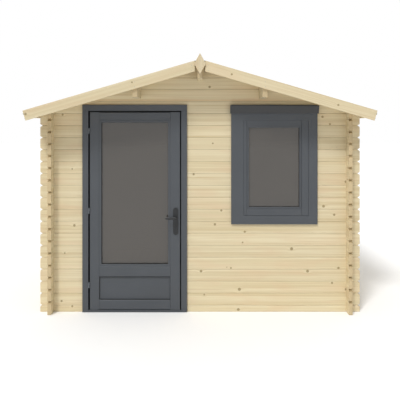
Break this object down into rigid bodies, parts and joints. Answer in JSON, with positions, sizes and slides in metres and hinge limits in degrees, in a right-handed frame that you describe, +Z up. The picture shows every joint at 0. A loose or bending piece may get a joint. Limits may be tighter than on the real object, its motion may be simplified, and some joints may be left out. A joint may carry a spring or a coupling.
{
  "type": "wooden garden shed",
  "caption": "Garden shed of interlocking boards with crossed corners, low gable roof, bargeboards and finial, a part-glazed grey door that opens and a single grey window.",
  "frame": {"origin": "middle of the shed's footprint at ground level, at the bottom centre of its bounding box", "axes": "+Z up, the front with the door and window faces -Y, +X to the right seen from the front"},
  "size_m": [3.1338, 2.9576, 2.3865],
  "materials": {
    "wall_boards": "planed, untreated spruce",
    "purlins": "planed, untreated spruce",
    "roof_boards": "planed, untreated spruce",
    "roofing_felt": "mineral-faced bitumen felt",
    "trim_boards": "planed, untreated spruce",
    "floor_wood": "planed, untreated spruce",
    "anthracite_paint": "satin anthracite paint on wood",
    "dark_trim": "satin dark grey paint on wood",
    "glass": "clear float glass",
    "black_fittings": "matt black powder coat"
  },
  "bodies": {
    "shed": {"front_wall_left": "wall_boards", "front_wall_low": "wall_boards", "front_wall_middle": "wall_boards", "front_wall_right": "wall_boards", "front_gable": "wall_boards", "back_wall": "wall_boards", "back_gable": "wall_boards", "left_wall": "wall_boards", "right_wall": "wall_boards", "ridge_purlin": "purlins", "left_purlin": "purlins", "right_purlin": "purlins", "roof_boards_left": "roof_boards", "roof_boards_right": "roof_boards", "roof_felt_left": "roofing_felt", "roof_felt_right": "roofing_felt", "ridge_felt": "roofing_felt", "front_left_bargeboard": "trim_boards", "front_right_bargeboard": "trim_boards", "back_left_bargeboard": "trim_boards", "back_right_bargeboard": "trim_boards", "front_finial": "trim_boards", "back_finial": "trim_boards", "left_eave_board": "trim_boards", "right_eave_board": "trim_boards", "floor_boards": "floor_wood", "floor_bearers": "floor_wood", "door_left_jamb": "anthracite_paint", "door_right_jamb": "anthracite_paint", "door_head": "anthracite_paint", "door_threshold": "dark_trim", "door_hinges_frame_half": "black_fittings", "window_frame": "anthracite_paint", "window_sash": "anthracite_paint", "window_glass": "glass", "window_beads": "anthracite_paint", "window_head_cap": "dark_trim"},
    "door": {"door_stiles": "anthracite_paint", "door_rails": "anthracite_paint", "door_lower_panel": "anthracite_paint", "door_glass": "glass", "door_beads": "anthracite_paint", "door_hinges_leaf_half": "black_fittings", "handle_plates": "black_fittings"},
    "lever": {"outside_lever": "black_fittings", "inside_lever": "black_fittings"}
  },
  "joints": [
    {"name": "door_hinge", "type": "hinge", "parent": "shed", "child": "door", "pos_m": [-1.039, -1.1775, 1], "axis": [0, 0, -1], "range_deg": [0, 110]},
    {"name": "lever_turn", "type": "hinge", "parent": "door", "child": "lever", "pos_m": [-0.2275, -1.152, 0.89], "axis": [0, -1, 0], "range_deg": [0, 40], "stiffness_Nm_per_rad": 0.6}
  ]
}
